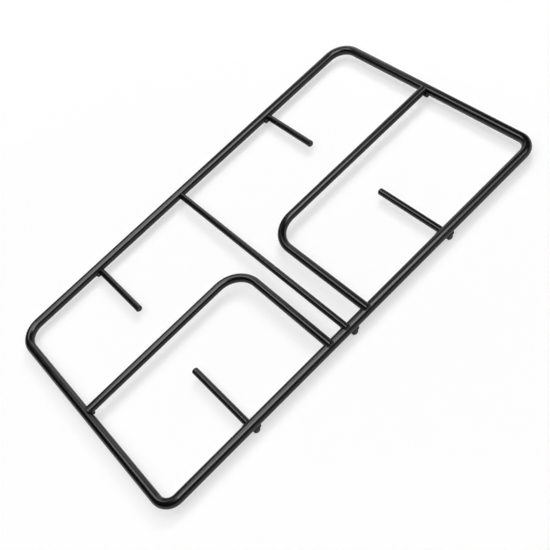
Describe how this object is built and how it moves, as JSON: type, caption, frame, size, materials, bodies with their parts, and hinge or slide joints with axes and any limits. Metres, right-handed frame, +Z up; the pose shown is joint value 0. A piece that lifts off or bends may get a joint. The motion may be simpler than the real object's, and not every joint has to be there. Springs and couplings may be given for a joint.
{
  "type": "hob pan support",
  "caption": "Rectangular welded rod grid with rounded corners, bent legs, a cross bar and inward fingers, to hold pans above the burners of a gas hob.",
  "frame": {"origin": "middle of the outer rectangle, at the level of the underside of the feet", "axes": "+X along the long sides, +Y from the side with the feet to the far side, +Z up to the pans"},
  "size_m": [0.4144, 0.2374, 0.0157],
  "materials": {
    "black_enamel": "semi-gloss vitreous enamel"
  },
  "bodies": {
    "root": {"cross_bar": "black_enamel", "finger_far_left": "black_enamel", "finger_far_right": "black_enamel", "finger_near_left": "black_enamel", "finger_near_right": "black_enamel", "foot_left": "black_enamel", "foot_middle": "black_enamel", "foot_right": "black_enamel", "frame": "black_enamel", "left_leg": "black_enamel", "right_leg": "black_enamel", "weld_bar_end": "black_enamel", "weld_far_left": "black_enamel", "weld_far_right": "black_enamel", "weld_foot_left": "black_enamel", "weld_foot_middle": "black_enamel", "weld_foot_right": "black_enamel", "weld_left_end": "black_enamel", "weld_left_start": "black_enamel", "weld_near_left": "black_enamel", "weld_near_right": "black_enamel", "weld_right_end": "black_enamel", "weld_right_start": "black_enamel"}
  },
  "joints": []
}
